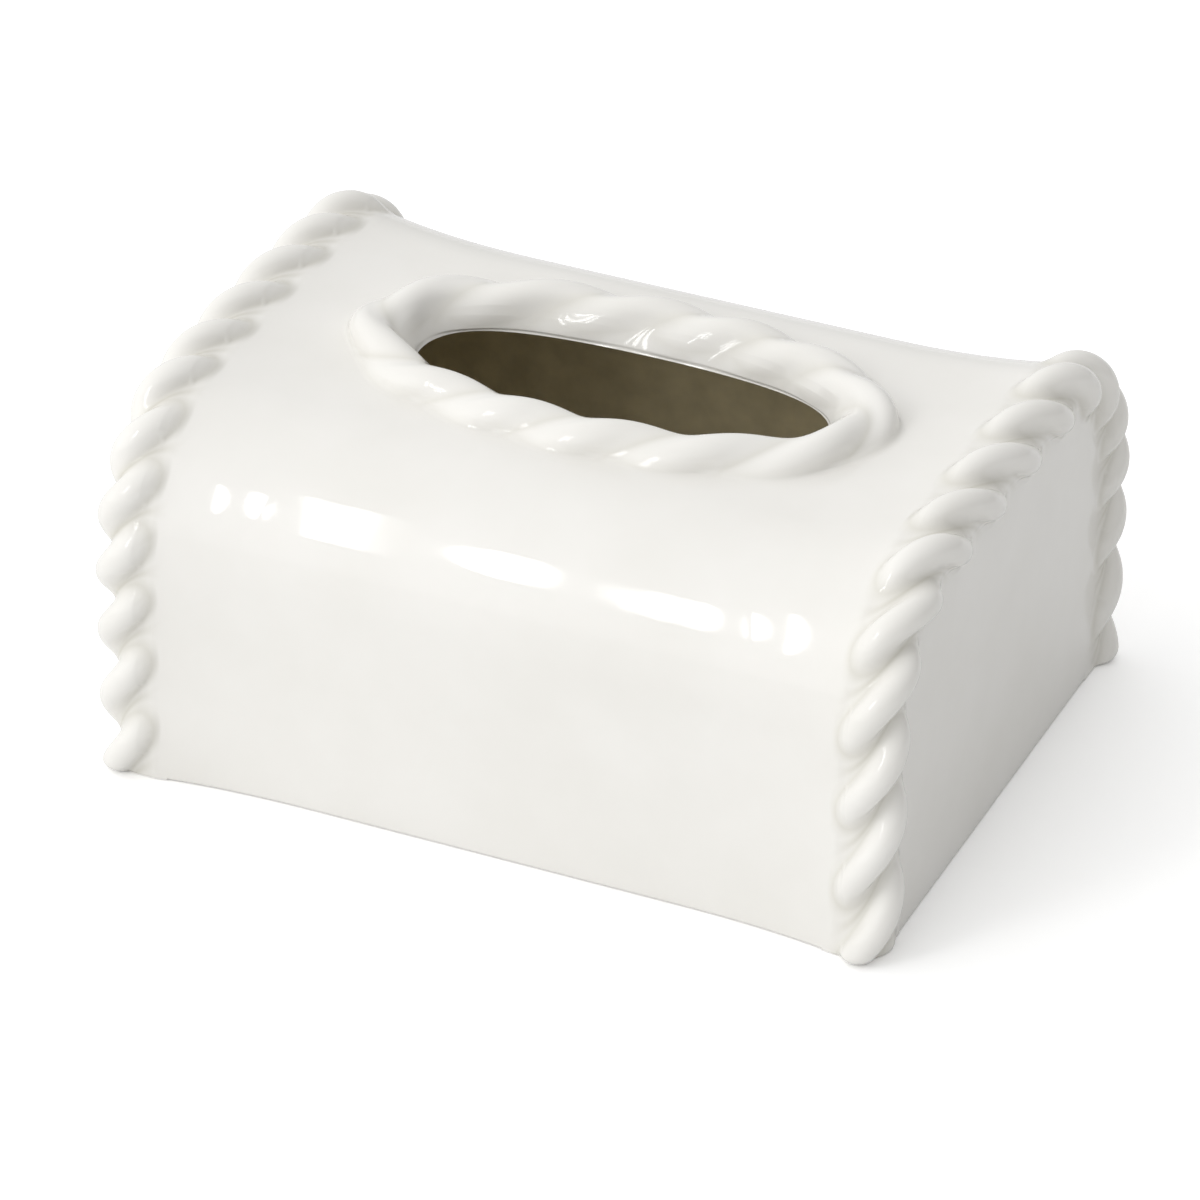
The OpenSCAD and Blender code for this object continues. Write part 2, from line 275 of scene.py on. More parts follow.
class Strands:
    """Two round strands wound round each other.

    groove is the direction of the first groove between them in each cross section, and rate is how
    fast they turn along the rope.
    """

    # The search for the nearest place on a strand: its steps, and the least slope that they count with.
    STEPS = 8
    LEAST_STEEPNESS = 0.5

    # Reach of the darker tint, compared with the glaze's own, and how dark it is in a seam. The tint
    # paints shade into grooves and seams, along with pooled glaze.
    GROOVE_TINT_REACH = 0.7
    SEAM_TINT_REACH = 1.6
    SEAM_TINT = 0.5

    def __init__(self, sizes, groove, rate):
        self.strand_radius = sizes.strand_radius
        self.offset = sizes.radius - sizes.strand_radius
        self.pooling_and_shade = sizes.pooling_and_shade
        self.groove, self.rate = groove, rate

    def strand(self, reach, turn):
        """Distance outside the strand that lies at turn 0 in this cross section.

        nearest is the turn of the place on the strand that is nearest to the point. Each step moves it
        by its error over the error's slope.
        """
        turn = np.abs((turn + pi) % (2 * pi) - pi)
        pull = reach * self.offset * self.rate ** 2
        nearest = turn / (1 + pull)
        for _ in range(self.STEPS):
            steepness = np.maximum(1 + pull * np.cos(nearest), self.LEAST_STEEPNESS)
            error = nearest + pull * np.sin(nearest) - turn
            nearest = np.clip(nearest - error / steepness, 0, pi)
        ahead = (turn - nearest) / self.rate
        across = reach ** 2 + self.offset ** 2 - 2 * reach * self.offset * np.cos(nearest)
        return np.sqrt(ahead ** 2 + across) - self.strand_radius

    def both(self, u, v):
        """Distances outside the first and the second strand."""
        reach, turn = np.hypot(u, v), np.arctan2(v, u) - self.groove
        return self.strand(reach, turn - pi / 2), self.strand(reach, turn + pi / 2)

    def outside(self, u, v, groove_fill):
        """Distance outside both strands, with the glaze in the grooves between them."""
        return smooth_union(*self.both(u, v), groove_fill)

    def pool(self, u, v, body, groove_fill, fill):
        """How dark the grooves and the seam beside the body are tinted: partly pooled glaze, partly
        painted shade.
        """
        first, second = self.both(u, v)
        nearest = np.minimum(first, second)
        groove = fillet(first, second, self.GROOVE_TINT_REACH * groove_fill)
        seam = fillet(nearest, body, self.SEAM_TINT_REACH * fill)
        return self.pooling_and_shade * np.maximum(groove * ease(1 - nearest / groove_fill), self.SEAM_TINT * seam)


class EndRope:
    """Surface of an end rope, and of the glaze that runs from it onto the slab and the panel.

    The points lie on fixed rays round the rope. From one station along the arch to the next, the
    strands turn by one ray. Rays 0 to SHOWN are seen, and the others close the strands inside.
    The skirts are the first and the last rays, which lie on the panel and on the slab. u and v are
    the distances out from the rope's centre line, square to the panel and square to the slab.
    """

    RAYS = 80
    SKIRT = 12
    SHOWN = 72

    # Stations in a tenth of a crossing, and how far the skirts lie over the faces.
    TENTH = RAYS // 20
    LIFT = 0.000012

    # The winding's sense, its first ray, how much the crossings crowd on the shoulders, and how much
    # wider apart they lie at the front than at the back.
    LEFT_LAY = 1, 0, 0.21, 0.025
    RIGHT_LAY = -1, 20, 0.19, 0.112

    # Shares of the rope's radius: where the rays of the skirts meet the faces, over what length the
    # skirts' glaze fades out, how far out the other rays are aimed, the rounding of the corner under
    # the rope, how far inside the centre line the rays start, and how far out they are walked from.
    SKIRT_SHARES = np.linspace(0.66, 1.30, SKIRT)
    FADE_SHARE = 0.3
    AIM_SHARE = 0.62
    BEND_SHARE = 0.9
    START_SHARE = 0.6
    FAR_SHARE = 3

    # Directions of the first and the last hidden ray, in degrees before the first seen one.
    HIDDEN_DIRECTIONS = 126, 18

    def __init__(self, scene, side):
        self.rope = rope = scene.cover_rope
        self.shell = shell = Shell(scene)
        self.size = rope.radius
        turn, first_ray, crowding, drift = self.LEFT_LAY if side < 0 else self.RIGHT_LAY
        count = self.TENTH * (rope.left_twist if side < 0 else rope.right_twist)
        self.split = "ALTERNATE" if side < 0 else "FIXED"
        stations = np.arange(count + 1)[:, None]
        way = stations / count
        way = way + crowding / 4 / pi * np.sin(4 * pi * way) + drift / 2 / pi * (1 - np.cos(2 * pi * way))
        s = shell.arch.length * way

        step = radians(360) / self.RAYS
        self.first_rays = turn * stations + first_ray
        groove = Shell.FIRST_DIRECTION + self.first_rays * step
        strands = Strands(rope, groove, step / np.gradient(s, axis=0))
        shrink = self.foot_shrink(s)

        def outside(u, v):
            rope_distance = shrink * strands.outside(u / shrink, v / shrink, rope.groove_fill)
            return smooth_union(rope_distance, self.corner(u, v), self.reach(u, v))

        middle = -self.START_SHARE * self.size
        u, v = walk_in(outside, (middle, middle), self.aims() - middle, self.FAR_SHARE * self.size)
        # Painted shade with pooled glaze: how much darker the glaze is tinted in the grooves and beside
        # the slab and the panel.
        self.pool = np.zeros((count + 1, self.RAYS))
        self.pool[:, :self.SHOWN + 1] = strands.pool(
            u, v, self.corner(u, v), rope.groove_fill, self.reach(u, v))
        self.normals = np.zeros((count + 1, self.RAYS, 3))
        seen = shell.arch.place(side * (shell.half + u), s, v)
        self.normals[:, :self.SHOWN + 1] = side * lattice_normals(seen)

        u[:, 0] -= 2 * self.LIFT
        v[:, -1] -= 2 * self.LIFT
        before = np.linspace(*self.HIDDEN_DIRECTIONS, self.RAYS - self.SHOWN - 1)
        bead = Shell.FIRST_DIRECTION - np.radians(before) + 0 * s
        u = np.concatenate((u, rope.bead_radius * np.cos(bead)), axis=1)
        v = np.concatenate((v, rope.bead_radius * np.sin(bead)), axis=1)
        self.points = shell.arch.place(side * (shell.half + u), s, v)
        self.middles = shell.arch.place(side * shell.half, s, 0.0)

    def foot_shrink(self, s):
        """How much smaller the rope is near the floor, where its ends are rounded."""
        radius = self.rope.foot_radius
        near = np.clip(np.minimum(s, self.shell.arch.length - s), 0, radius)
        return 1 - (radius - np.sqrt(radius ** 2 - (radius - near) ** 2)) / self.size

    def aims(self):
        """A point on each seen ray, from the panel's skirt over the rope to the wall's skirt."""
        skirt = self.size * self.SKIRT_SHARES
        face = np.full(self.SKIRT, self.shell.face)
        angle = Shell.FIRST_DIRECTION + np.linspace(0, Shell.EXPOSED, self.SHOWN + 1 - 2 * self.SKIRT)
        aim = self.AIM_SHARE * self.size
        round_u, round_v = aim * np.cos(angle), aim * np.sin(angle)
        return np.array((np.concatenate((face, round_u, -skirt)),
                         np.concatenate((-skirt[::-1], round_v, face))))

    def corner(self, u, v):
        """Distance outside the slab's and the panel's faces, whose corner under the rope is round."""
        face, bend = self.shell.face, self.BEND_SHARE * self.size
        du, dv = u - face + bend, v - face + bend
        flat = np.where(dv >= du, v - self.shell.out(self.shell.half + u), u - face)
        return np.where((du > 0) & (dv > 0), np.hypot(du, dv) - bend, flat) - self.LIFT

    def reach(self, u, v):
        """Reach of the glaze beside the rope, which fades out at the edges of the skirts."""
        end = self.size * self.SKIRT_SHARES[-1]
        return self.rope.seam_fill * ease((end + np.minimum(u, v)) / (self.FADE_SHARE * self.size))

    def strand(self, name, half):
        """One strand: a ribbon of rays that winds along the rope, closed along its centre line."""
        width = self.RAYS // 2
        rays = (self.first_rays + self.SKIRT + half * width + np.arange(width + 1)) % self.RAYS
        rows = np.arange(len(rays))[:, None]
        ribbon = np.concatenate((self.middles, self.points[rows, rays], self.middles), axis=1)
        start, end = (np.broadcast_to(self.middles[row], ribbon[:1].shape) for row in (0, -1))
        normals = np.pad(self.normals[rows, rays], ((1, 1), (1, 1), (0, 0)))
        pool = np.pad(self.pool[rows, rays], 1)
        return lay_grid(name, np.concatenate((start, ribbon, end)), normals, pool, split=self.split)


class Oval:
    """A slightly square oval and its outward direction."""

    def __init__(self, half_length, half_width, square):
        self.a, self.b, self.q = half_length, half_width, square

    def at(self, t):
        return np.array((self.a * (np.cos(t) - self.q * np.cos(3 * t)) / (1 - self.q),
                         self.b * (np.sin(t) + self.q * np.sin(3 * t)) / (1 - self.q)))

    def out(self, t):
        out = np.array((self.b * (np.cos(t) + 3 * self.q * np.cos(3 * t)),
                        self.a * (np.sin(t) - 3 * self.q * np.sin(3 * t))))
        return out / np.hypot(*out)


class Ring:
    """Surface of the rope ring, and of the glaze that runs onto the roof and over the collar's lip.

    It is built like an end rope. Its rays are seen from the roof's skirt to the collar's skirt, and u
    and v are the distances out from its centre line and up from the roof.
    """

    RAYS = 80
    ROOF_SKIRT = 12
    COLLAR_SKIRT = 20
    SHOWN = 72
    LIFT = 0.000012

    # How square the ring and the opening are, compared with an oval.
    RING_SQUARE_SHARE = 0.012
    HOLE_SQUARE_SHARE = 0.04

    # Where the first crossing lies, and how uneven the crossings are once and twice round the ring.
    UNEVEN_SHARES = (0.0345, -0.0074, 0.0098)

    # How much of the lip the glaze covers, and over which share of its depth it thins out.
    COVERED_SHARE = 0.995
    LIP_FADE_SHARE = 0.25

    # Shares of the ring's radius, used as in an end rope. Measured from the centre line, the collar's
    # skirt begins at the ledge's share, the grooves begin to fill up on the outer side at the inner
    # share, and a strand closes at the middle's share below it.
    SKIRT_SHARES = np.linspace(1.55, 0.78, ROOF_SKIRT)
    FADE_SHARE = 0.35
    AIM_SHARE = 0.62
    LEDGE_SHARE = 0.72
    START_SHARE = 0.7
    FAR_SHARE = 4
    INNER_SHARE = 0.5
    MIDDLE_SHARE = 0.2

    # How far either way the opening's edge is looked for, and in how many halvings.
    SEARCH = radians(30)
    SEARCH_STEPS = 40

    # Directions of the first and the last hidden ray, in degrees below the roof.
    HIDDEN_DIRECTIONS = 158, 22

    def __init__(self, scene):
        self.sizes = ring = scene.cover_opening
        self.shell = Shell(scene)
        self.size = ring.radius
        self.lip = ring.lip_radius
        self.path = Oval(ring.half_length, ring.half_width, self.RING_SQUARE_SHARE)
        self.hole = Oval(ring.half_length - ring.radius - ring.collar_end,
                         ring.half_width - ring.radius - ring.collar_side, self.HOLE_SQUARE_SHARE)
        self.count = ring.crossings * self.RAYS // 2
        self.t, self.spacing = self.stations()
        self.edge = self.hole_distance()
        self.lip_turn = acos(1 - self.shell.wall / self.lip)
        self.lip_start = self.edge - self.lip * sin(self.lip_turn)

    def stations(self, samples=1440):
        """Oval angle of each station, and how far apart the stations are."""
        angles = np.linspace(0, 2 * pi, samples + 1)
        sums = np.append(0, np.cumsum(np.hypot(*np.diff(self.path.at(angles)))))
        first, uneven, oval = self.UNEVEN_SHARES
        w = np.arange(self.count)[:, None] / self.count
        distance = (w + first + uneven * np.sin(2 * pi * w) + oval * np.cos(4 * pi * w)) * sums[-1]
        return np.interp(distance % sums[-1], sums, angles), np.gradient(distance, axis=0)

    def hole_distance(self):
        """Distance from the ring's centre line to the opening's edge, straight across the ring."""
        start, out = self.path.at(self.t), self.path.out(self.t)
        low, high = self.t - self.SEARCH, self.t + self.SEARCH
        for _ in range(self.SEARCH_STEPS):
            middle = (low + high) / 2
            across = self.hole.at(middle) - start
            beyond = out[0] * across[1] - out[1] * across[0] > 0
            low, high = np.where(beyond, low, middle), np.where(beyond, middle, high)
        return -(across * out).sum(axis=0)

    def lay_surface(self):
        """Lay the ring's points, normals, and the darker tint of pooled glaze and painted shade in its
        grooves and seams.
        """
        step = radians(360) / self.RAYS
        strands = Strands(self.sizes, np.arange(self.count)[:, None] * step, step / self.spacing)

        def outside(u, v):
            ring_distance = strands.outside(u, v, self.groove_fill(u))
            return smooth_union(ring_distance, self.base(u, v), self.reach(u, v))

        start = 0.0, -self.START_SHARE * self.size
        aims = self.aims() - np.reshape(start, (2, 1, 1))
        u, v = walk_in(outside, start, aims, self.FAR_SHARE * self.size)
        # Painted shade with pooled glaze: how much darker the glaze is tinted in the grooves and beside
        # the roof and the collar.
        self.pool = np.zeros((self.count, self.RAYS))
        self.pool[:, :self.SHOWN + 1] = strands.pool(
            u, v, self.base(u, v), self.groove_fill(u), self.sizes.roof_fill)
        self.normals = np.zeros((self.count, self.RAYS, 3))
        self.normals[:, :self.SHOWN + 1] = lattice_normals(self.place(u, v), ring=True)
        v[:, 0] -= 2 * self.LIFT
        v[:, -1] -= 2 * self.LIFT
        below = np.linspace(*self.HIDDEN_DIRECTIONS, self.RAYS - self.SHOWN - 1)
        angle = -np.radians(below) + 0 * self.t
        u = np.concatenate((u, self.shell.wall * np.cos(angle)), axis=1)
        v = np.concatenate((v, self.shell.wall * np.sin(angle)), axis=1)
        self.points = self.place(u, v)

    def base(self, u, v):
        """Distance outside the roof and the collar, whose upper edge is a rounded lip."""
        du, dv = -self.lip_start - u, v + self.lip
        return np.where((du > 0) & (dv > 0), np.hypot(du, dv) - self.lip, v) - self.LIFT

    def groove_fill(self, u):
        """Reach of the glaze in the grooves, which is larger on the inner side."""
        inner = ease(self.INNER_SHARE - u / self.size)
        return self.sizes.groove_fill * (1 + self.sizes.inner_share * inner)

    def reach(self, u, v):
        """Reach of the glaze beside the ring, which fades out at the edges of the skirts."""
        end = self.size * self.SKIRT_SHARES[0]
        roof = self.sizes.roof_fill * ease((end - u) / (self.FADE_SHARE * self.size))
        low = self.lip * (1 - cos(self.COVERED_SHARE * self.lip_turn))
        collar = self.sizes.collar_fill * ease((1 + v / low) / self.LIP_FADE_SHARE)
        inward = self.sizes.roof_fill + (collar - self.sizes.roof_fill) * ease(-u / self.size)
        return np.where(u > 0, roof, inward)

    def aims(self):
        """A point on each seen ray, from the roof's skirt over the ring to the collar's skirt."""
        ledge = self.lip_start - self.LEDGE_SHARE * self.size
        bend = self.COVERED_SHARE * self.lip_turn * self.lip
        way = np.linspace(1, self.COLLAR_SKIRT, self.COLLAR_SKIRT) / self.COLLAR_SKIRT * (ledge + bend)
        turn = np.maximum(way - ledge, 0) / self.lip
        on_ledge = -self.LEDGE_SHARE * self.size - way
        on_lip = -self.lip_start - self.lip * np.sin(turn)
        collar_u = np.where(way < ledge, on_ledge, on_lip)
        collar_v = self.lip * (np.cos(turn) - 1)
        angle = np.linspace(0, pi, self.SHOWN + 1 - self.ROOF_SKIRT - self.COLLAR_SKIRT)
        roof, aim = self.size * self.SKIRT_SHARES, self.AIM_SHARE * self.size
        u = np.concatenate((roof, aim * np.cos(angle))) + 0 * self.t
        v = np.concatenate((0 * roof, aim * np.sin(angle))) + 0 * self.t
        return np.array((np.concatenate((u, collar_u), axis=1), np.concatenate((v, collar_v), axis=1)))

    def place(self, u, v):
        """Points in the ring's own cross sections, one row for each station."""
        x, y = self.path.at(self.t) + u * self.path.out(self.t)
        return np.stack((x, y, self.shell.roof(x, y) + v), axis=-1)

    def strand(self, name, half):
        """One strand, closed through points a little below the ring's centre line."""
        width = self.RAYS // 2
        rows = np.arange(self.count)[:, None]
        rays = (rows + self.ROOF_SKIRT + width * half + np.arange(width + 1)) % self.RAYS
        middles = self.place(0.0, -self.MIDDLE_SHARE * self.size)
        points = np.concatenate((middles, self.points[rows, rays], middles), axis=1)
        normals = np.pad(self.normals[rows, rays], ((0, 0), (1, 1), (0, 0)))
        pool = np.pad(self.pool[rows, rays], ((0, 0), (1, 1)))
        return lay_grid(name, close_ring(points), close_ring(normals), close_ring(pool),
                        split="ALTERNATE")


def lay_grid(name, points, normals=None, pool=None, inside=None, split=None):
    """A piece from a grid whose corners are laid on the points.

    Its pool values say how dark the glaze is tinted at each point, for pooled glaze and for painted
    shade, and inside marks the points on bare clay.
    split tells along which of its two diagonals each quad is split.
    """
    rows, columns = points.shape[:2]
    bm = bmesh.new()
    bmesh.ops.create_grid(bm, x_segments=columns - 1, y_segments=rows - 1, size=1.0)
    if split:
        bmesh.ops.triangulate(bm, faces=bm.faces, quad_method=split)
    layers = []
    if normals is not None:
        layers.append((bm.verts.layers.float_vector.new("surface_normal"), normals.tolist()))
    if pool is not None:
        layers.append((bm.verts.layers.float.new("pool"), pool.tolist()))
    if inside is not None:
        layers.append((bm.verts.layers.int.new("inside"), inside.tolist()))
    for vert in bm.verts:
        row = round((vert.co.y + 1) / 2 * (rows - 1))
        column = round((vert.co.x + 1) / 2 * (columns - 1))
        vert.co = points[row, column]
        for layer, values in layers:
            vert[layer] = values[row][column]
    bmesh.ops.remove_doubles(bm, verts=bm.verts, dist=MERGE_DISTANCE)
    return finish_piece(name, bm)


def finish_piece(name, bm, sharp=radians(35)):
    """Close the mesh, turn its faces outward, and make it an object with the glaze on it."""
    bmesh.ops.holes_fill(bm, edges=[edge for edge in bm.edges if edge.is_boundary], sides=0)
    bmesh.ops.recalc_face_normals(bm, faces=bm.faces)
    inside = bm.verts.layers.int.get("inside")
    normal = bm.verts.layers.float_vector.get("surface_normal")
    for face in bm.faces:
        face.smooth = True
        face.material_index = int(inside is not None and all(vert[inside] for vert in face.verts))
    if normal is None:
        for edge in bm.edges:
            edge.smooth = edge.calc_face_angle(0.0) < sharp
    mesh = bpy.data.meshes.new(name)
    normals = [tuple(vert[normal]) for vert in bm.verts] if normal is not None else None
    bm.to_mesh(mesh)
    bm.free()
    if normals is not None:
        mesh.normals_split_custom_set_from_vertices(normals)
    for layer in ("surface_normal", "inside"):
        if layer in mesh.attributes:
            mesh.attributes.remove(mesh.attributes[layer])
    piece = bpy.data.objects.new(name, mesh)
    bpy.context.collection.objects.link(piece)
    mesh.materials.append(bpy.data.materials["Cream glaze"])
    mesh.materials.append(bpy.data.materials["Bare clay"])
    return piece


def take_place(piece, *nodes):
    """The piece stands for the CAD nodes, which are hidden, and hangs on the root body."""
    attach(piece, "root")
    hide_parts(*nodes)


def hand_finish_group():
    """Node group: the slow waves and the mottling that hand-rolled clay keeps under its glaze."""
    group = bpy.data.node_groups.new("Hand finish", "ShaderNodeTree")
    nodes, links = group.nodes, group.links
    inputs, outputs = nodes.new("NodeGroupInput"), nodes.new("NodeGroupOutput")
    place = nodes.new("ShaderNodeTexCoord")
    for scale, result, detail in (("Wave Scale", "Waves", 2.0), ("Mottle Scale", "Mottle", 5.0)):
        group.interface.new_socket(scale, in_out="INPUT", socket_type="NodeSocketFloat")
        group.interface.new_socket(result, in_out="OUTPUT", socket_type="NodeSocketFloat")
        noise = nodes.new("ShaderNodeTexNoise")
        noise.inputs["Detail"].default_value = detail
        links.new(place.outputs["Object"], noise.inputs["Vector"])
        links.new(inputs.outputs[scale], noise.inputs["Scale"])
        links.new(noise.outputs["Fac"], outputs.inputs[result])
    return group


class MaterialMaker:
    """A new material with the hand finish in it, ready for its own links."""

    def __init__(self, name, group, wave_scale, mottle_scale):
        self.material = bpy.data.materials.new(name)
        self.material.use_nodes = True
        self.nodes, self.links = self.material.node_tree.nodes, self.material.node_tree.links
        self.shader = self.nodes["Principled BSDF"]
        self.hand = self.nodes.new("ShaderNodeGroup")
        self.hand.node_tree = group
        self.hand.inputs["Wave Scale"].default_value = wave_scale
        self.hand.inputs["Mottle Scale"].default_value = mottle_scale

    def mix(self, factor, first, second):
        """Colour mix of two colours or sockets by a socket's factor."""
        node = self.nodes.new("ShaderNodeMix")
        node.data_type = "RGBA"
        self.links.new(factor, node.inputs["Factor"])
        for socket, value in ((MIX_FIRST, first), (MIX_SECOND, second)):
            if isinstance(value, bpy.types.NodeSocket):
                self.links.new(value, node.inputs[socket])
            else:
                node.inputs[socket].default_value = (*value, 1.0)
        return node.outputs[MIX_RESULT]

    def ramp(self, value, low, high, to_low, to_high):
        """A value from low to high, turned into one from to_low to to_high."""
        node = self.nodes.new("ShaderNodeMapRange")
        node.inputs["From Min"].default_value, node.inputs["From Max"].default_value = low, high
        node.inputs["To Min"].default_value, node.inputs["To Max"].default_value = to_low, to_high
        self.links.new(value, node.inputs["Value"])
        return node.outputs["Result"]

    def bump(self, height, strength, distance):
        """Let the height raise the surface by up to the distance."""
        node = self.nodes.new("ShaderNodeBump")
        node.inputs["Strength"].default_value = strength
        node.inputs["Distance"].default_value = distance
        self.links.new(height, node.inputs["Height"])
        self.links.new(node.outputs["Normal"], self.shader.inputs["Normal"])


class COVER_OT_materials(bpy.types.Operator):
    """Mix the glaze and the bare clay"""

    bl_idname = "cover.materials"
    bl_label = "Mix Materials"

    # The scales of the waves and of the mottling, and the part of the mottle's range that is used.
    GLAZE_SCALES = 38.0, 26.0
    CLAY_SCALES = 60.0, 90.0
    MOTTLE_RANGE = 0.3, 0.7
    TINT_RANGE = 0.35, 0.7

    # How much of the pooled colour mottling and pools bring, and how dark the clay's dark spots are. The
    # pools' tint is painted shade as well as pooled glaze.
    MOTTLE_TINT = 0.11
    POOL_AND_SHADE_TINT = 0.9
    CLAY_SHADE = 0.82

    GLAZE_ROUGHNESS = 0.04, 0.07
    GLAZE_IOR = 1.5
    CLAY_ROUGHNESS = 0.45, 0.7

    # Strength and distance of each bump.
    GLAZE_BUMP = 0.5, 0.00012
    CLAY_BUMP = 0.6, 0.0008

    def execute(self, context):
        colours = context.scene.cover_colours
        group = hand_finish_group()
        self.mix_glaze(colours, group)
        self.mix_clay(colours, group)
        return {"FINISHED"}

    def mix_glaze(self, colours, group):
        """Shiny cream glaze, tinted darker in grooves and seams: partly pooled glaze, partly painted
        shade.
        """
        glaze = MaterialMaker("Cream glaze", group, *self.GLAZE_SCALES)
        mottle = glaze.hand.outputs["Mottle"]
        # This attribute carries painted shade along with pooled glaze: a darker tint in grooves and
        # seams.
        pool = glaze.nodes.new("ShaderNodeAttribute")
        pool.attribute_name = "pool"
        mottle_tint = glaze.ramp(mottle, *self.TINT_RANGE, 0.0, self.MOTTLE_TINT)
        pool_and_shade_tint = glaze.ramp(pool.outputs["Fac"], 0.0, 1.0, 0.0, self.POOL_AND_SHADE_TINT)
        thin = glaze.mix(mottle_tint, colours.glaze, colours.pooled_and_shade)
        tint = glaze.mix(pool_and_shade_tint, thin, colours.pooled_and_shade)
        roughness = glaze.ramp(mottle, *self.MOTTLE_RANGE, *self.GLAZE_ROUGHNESS)
        glaze.links.new(tint, glaze.shader.inputs["Base Color"])
        glaze.links.new(roughness, glaze.shader.inputs["Roughness"])
        glaze.shader.inputs["IOR"].default_value = self.GLAZE_IOR
        glaze.bump(glaze.hand.outputs["Waves"], *self.GLAZE_BUMP)

    def mix_clay(self, colours, group):
        """Dull bare clay with darker spots."""
        clay = MaterialMaker("Bare clay", group, *self.CLAY_SCALES)
        mottle = clay.hand.outputs["Mottle"]
        darker = [self.CLAY_SHADE * value for value in colours.inside]
        tint = clay.mix(clay.ramp(mottle, *self.MOTTLE_RANGE, 0.0, 1.0), colours.inside, darker)
        roughness = clay.ramp(mottle, *self.MOTTLE_RANGE, *self.CLAY_ROUGHNESS)
        clay.links.new(tint, clay.shader.inputs["Base Color"])
        clay.links.new(roughness, clay.shader.inputs["Roughness"])
        clay.bump(clay.hand.outputs["Waves"], *self.CLAY_BUMP)


class COVER_OT_slab(bpy.types.Operator):
    """Build the arched slab with its flared ends and the hole for the ring"""

    bl_idname = "cover.slab"
    bl_label = "Build Slab"

    # Columns across each foot and along each end, rows from the rim to the hole, how much the rows
    # crowd in their middle, and the first rows' distances from the rim, in edge radii.
    ACROSS = 64
    ALONG = 120
    WAYS = 100
    CROWDING = 0.09
    INSET_SHARES = np.array((0.0, 0.25, 0.6, 1.1, 2.0, 4.0))

    # How far the hole's edge lies outside the ring's centre line, as a share of the ring's radius.
    HOLE_SHARE = 0.5

    def spread(self, shell, opening):
        """Places x across and s along the arch, in rows from the slab's rim to its hole."""
        arch = shell.arch
        across = np.linspace(-shell.end, shell.end, self.ACROSS, endpoint=False)
        along = np.linspace(0, arch.length, self.ALONG, endpoint=False)
        sides, ends = np.full(self.ALONG, shell.end), np.zeros(self.ACROSS)
        rim_x = np.concatenate((across, sides, -across, -sides))[:, None]
        rim_s = np.concatenate((ends, along, ends + arch.length, arch.length - along))[:, None]

        t = np.arctan2(rim_s / arch.half_length - 1, rim_x / shell.end)
        ring = Oval(opening.half_length, opening.half_width, Ring.RING_SQUARE_SHARE)
        hole_x, hole_y = ring.at(t) + self.HOLE_SHARE * opening.radius * ring.out(t)
        hole_s = arch.half_length + arch.crown_radius * np.arcsin(hole_y / arch.crown_radius)

        inset = self.INSET_SHARES * shell.edge / np.hypot(hole_x - rim_x, hole_s - rim_s)
        rest = np.linspace(0, 1, self.WAYS)[1:]
        rest = rest + self.CROWDING * np.sin(2 * pi * rest)
        way = np.concatenate((inset, inset[:, -1:] + (1 - inset[:, -1:]) * rest), axis=1)
        return rim_x + (hole_x - rim_x) * way, rim_s + (hole_s - rim_s) * way

    def execute(self, context):
        shell = Shell(context.scene)
        arch, edge = shell.arch, shell.edge
        x, s = self.spread(shell, context.scene.cover_opening)
        near = np.clip(np.minimum(s, arch.length - s), 0, edge)
        loss = edge - np.sqrt(edge ** 2 - (edge - near) ** 2)
        outer = arch.place(x, s, shell.out(x) - loss)
        inner = arch.place(x, s, shell.out(x) - shell.wall + loss)
        flat = (near >= edge)[..., None]
        outward = flat * lattice_normals(outer, ring=True)
        inward = flat * -lattice_normals(inner, ring=True)

        points = np.concatenate((outer, inner[:, ::-1], outer[:, :1]), axis=1)
        normals = np.concatenate((outward, inward[:, ::-1], outward[:, :1]), axis=1)
        inside = np.zeros(points.shape[:2], dtype=int)
        inside[:, outer.shape[1]:-1] = 1
        piece = lay_grid(
            "glazed_slab", close_ring(points), close_ring(normals), inside=close_ring(inside))
        take_place(piece, "arched_slab")
        return {"FINISHED"}


class COVER_OT_end_panels(bpy.types.Operator):
    """Build the flat panels that close the two ends"""

    bl_idname = "cover.end_panels"
    bl_label = "Build End Panels"

    # Columns along the arch, segments of the rounded lower edges, and how exactly those lie on the
    # floor and along a face before they are rounded.
    COLUMNS = 96
    EDGE_SEGMENTS = 3
    NEAR = 1e-6

    def execute(self, context):
        shell = Shell(context.scene)
        arch = shell.arch
        stations = np.linspace(0, arch.length, self.COLUMNS + 1)
        for side, name in ((-1, "left"), (1, "right")):
            outline = arch.place(side * (shell.half + shell.face), stations, -shell.seam)
            bm = bmesh.new()
            inside = bm.verts.layers.int.new("inside")
            face = bm.faces.new([bm.verts.new(point) for point in outline])
            copy = bmesh.ops.extrude_face_region(bm, geom=[face], use_keep_orig=True)["geom"]
            inner = [item for item in copy if isinstance(item, bmesh.types.BMVert)]
            bmesh.ops.translate(bm, verts=inner, vec=(-side * shell.wall, 0, 0))
            for vert in inner:
                vert[inside] = 1
            bmesh.ops.recalc_face_normals(bm, faces=bm.faces)
            base = [edge for edge in bm.edges
                    if max(vert.co.z for vert in edge.verts) < self.NEAR
                    and abs(edge.verts[0].co.x - edge.verts[1].co.x) < self.NEAR]
            bmesh.ops.bevel(
                bm, geom=base, offset=shell.edge, segments=self.EDGE_SEGMENTS, profile=0.5,
                affect="EDGES", material=-1)
            take_place(finish_piece(name + "_glazed_panel", bm), name + "_end_panel")
        return {"FINISHED"}


